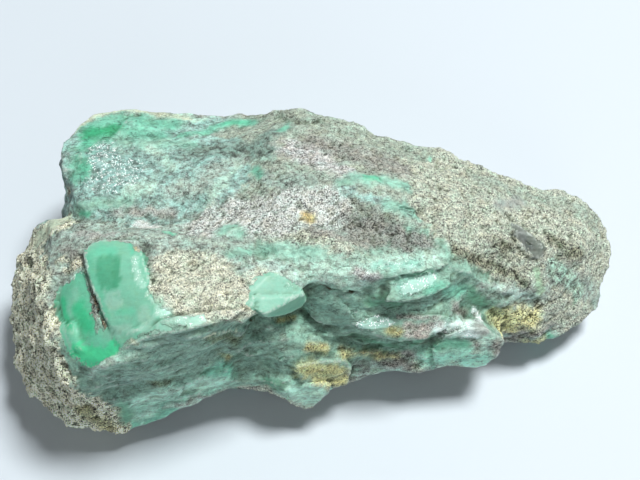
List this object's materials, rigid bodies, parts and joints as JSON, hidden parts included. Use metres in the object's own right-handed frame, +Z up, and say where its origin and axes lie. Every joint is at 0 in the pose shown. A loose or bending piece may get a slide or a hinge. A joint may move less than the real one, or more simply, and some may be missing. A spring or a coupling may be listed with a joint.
{
  "type": "variscite specimen",
  "caption": "Rough hand specimen of green variscite in a sandy phosphate matrix, a blocky broken stone that rests on a flat underside.",
  "frame": {"origin": "on the flat underside that the stone rests on, below the middle of its bounding box", "axes": "+X along the stone's length from its raised broken butt to its tapered nose, +Y from the ledged near face to the straight back rim, +Z up from the table"},
  "size_m": [0.126, 0.068, 0.038],
  "materials": {
    "variscite": "natural broken stone: waxy apple-green and mint seams with a low gloss, in a matt, granular, sandy beige and grey matrix"
  },
  "bodies": {
    "root": {"variscite_stone": "variscite"}
  },
  "joints": []
}
